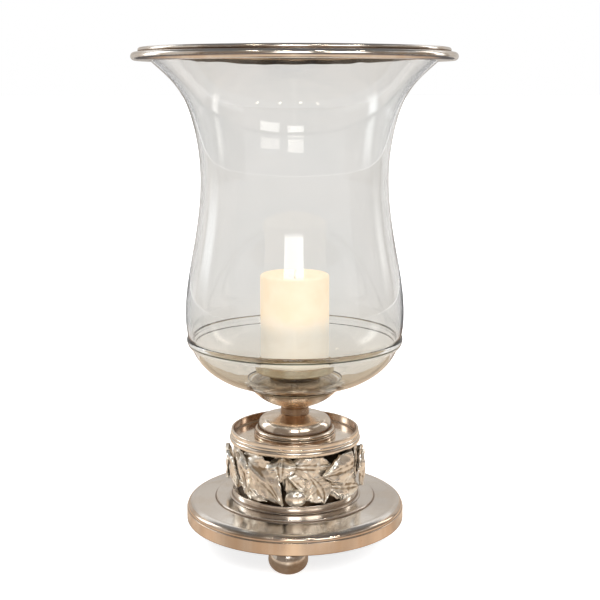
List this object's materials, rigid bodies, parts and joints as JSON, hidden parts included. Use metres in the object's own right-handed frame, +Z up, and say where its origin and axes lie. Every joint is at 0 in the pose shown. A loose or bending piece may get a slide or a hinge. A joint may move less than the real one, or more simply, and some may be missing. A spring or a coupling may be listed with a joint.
{
  "type": "hurricane candle lantern",
  "caption": "Bell-shaped glass hurricane lantern with a plated rim, on a turned socle and beaded tray over a leaf-wrapped drum, stepped round base and ball feet, holding a pillar candle.",
  "frame": {"origin": "on the surface the lantern stands on, under its axis", "axes": "+Z up along the axis of the glass; -Y is the front, the side the picture shows; +X to the right in the picture"},
  "size_m": [0.317, 0.317, 0.5092],
  "materials": {
    "silver_plate": "polished silver plate over brass, warm",
    "cast_silver": "silver plate on a cast relief, half bright, darker in the hollows",
    "drum_metal": "tarnished dark",
    "iron": "plain, hidden in the base",
    "fastener_steel": "plain",
    "felt": "matt wool felt",
    "clear_glass": "clear, blown",
    "wax": "ivory candle wax, silky",
    "wick_cotton": "charred cotton"
  },
  "bodies": {
    "stand": {"foot_front": "silver_plate", "foot_rear_right": "silver_plate", "foot_rear_left": "silver_plate", "foot_screw_front": "fastener_steel", "foot_screw_rear_right": "fastener_steel", "foot_screw_rear_left": "fastener_steel", "ballast_plate": "iron", "base_cover": "silver_plate", "base_collar": "silver_plate", "drum": "drum_metal", "front_leaf_01": "cast_silver", "front_leaf_02": "cast_silver", "front_leaf_03": "cast_silver", "front_leaf_04": "cast_silver", "front_leaf_05": "cast_silver", "front_leaf_06": "cast_silver", "front_leaf_07": "cast_silver", "front_leaf_08": "cast_silver", "front_leaf_09": "cast_silver", "front_leaf_10": "cast_silver", "front_leaf_11": "cast_silver", "front_leaf_12": "cast_silver", "front_leaf_13": "cast_silver", "rear_leaf_01": "cast_silver", "rear_leaf_02": "cast_silver", "rear_leaf_03": "cast_silver", "rear_leaf_04": "cast_silver", "rear_leaf_05": "cast_silver", "rear_leaf_06": "cast_silver", "rear_leaf_07": "cast_silver", "rear_leaf_08": "cast_silver", "rear_leaf_09": "cast_silver", "rear_leaf_10": "cast_silver", "rear_leaf_11": "cast_silver", "rear_leaf_12": "cast_silver", "rear_leaf_13": "cast_silver", "front_berry": "cast_silver", "rear_berry": "cast_silver", "gallery_tray": "silver_plate", "socle": "silver_plate", "glass_cup": "silver_plate", "lower_felt": "felt", "upper_felt": "felt", "glass_vessel": "clear_glass", "rim_collar": "silver_plate", "candle_plate": "silver_plate", "tie_rod": "fastener_steel", "tie_washer": "fastener_steel", "tie_nut": "fastener_steel"},
    "candle": {"candle": "wax", "wick": "wick_cotton"}
  },
  "joints": [
    {"name": "candle_lift", "type": "slide", "parent": "stand", "child": "candle", "axis": [0, 0, 1], "range_m": [0, 0.33]}
  ]
}
